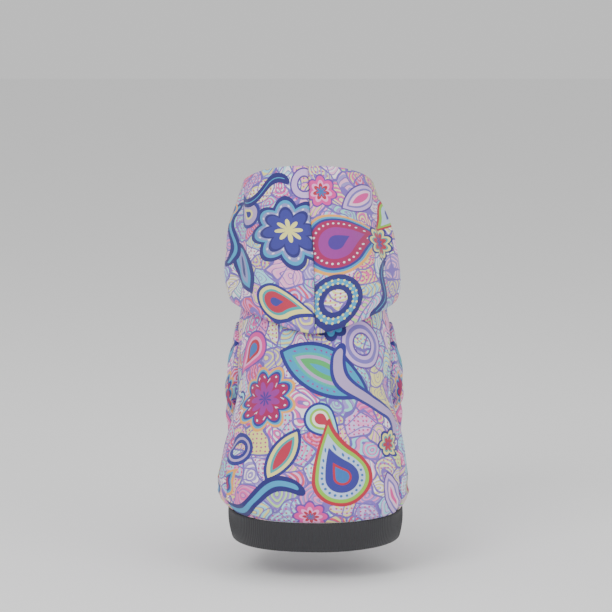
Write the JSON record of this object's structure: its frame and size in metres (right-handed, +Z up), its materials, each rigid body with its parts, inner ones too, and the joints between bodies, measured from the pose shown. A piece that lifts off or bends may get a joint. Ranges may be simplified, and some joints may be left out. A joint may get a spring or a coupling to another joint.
{
  "type": "dog hoodie",
  "caption": "Pet hoodie in all-over printed jersey in its worn form: body open at neck and hem, two short sleeves, hood lying on the back, dark rib hem band.",
  "frame": {"origin": "the nape: the middle of the back of the neckline seam, where the hoodie sits on the back of the wearer's neck", "axes": "+Z up, -Y out of the wearer's back, +Y to the throat, +X to the wearer's right"},
  "size_m": [0.2109, 0.3492, 0.4045],
  "materials": {
    "printed_jersey": "matt polyester jersey, printed all over on its outer face",
    "rib_knit": "matt folded rib knit, near black"
  },
  "bodies": {
    "root": {"back_panel": "printed_jersey", "chest_panel": "printed_jersey", "hood_left": "printed_jersey", "hood_right": "printed_jersey", "sleeve_left": "printed_jersey", "sleeve_right": "printed_jersey", "hem_band": "rib_knit"}
  },
  "joints": []
}
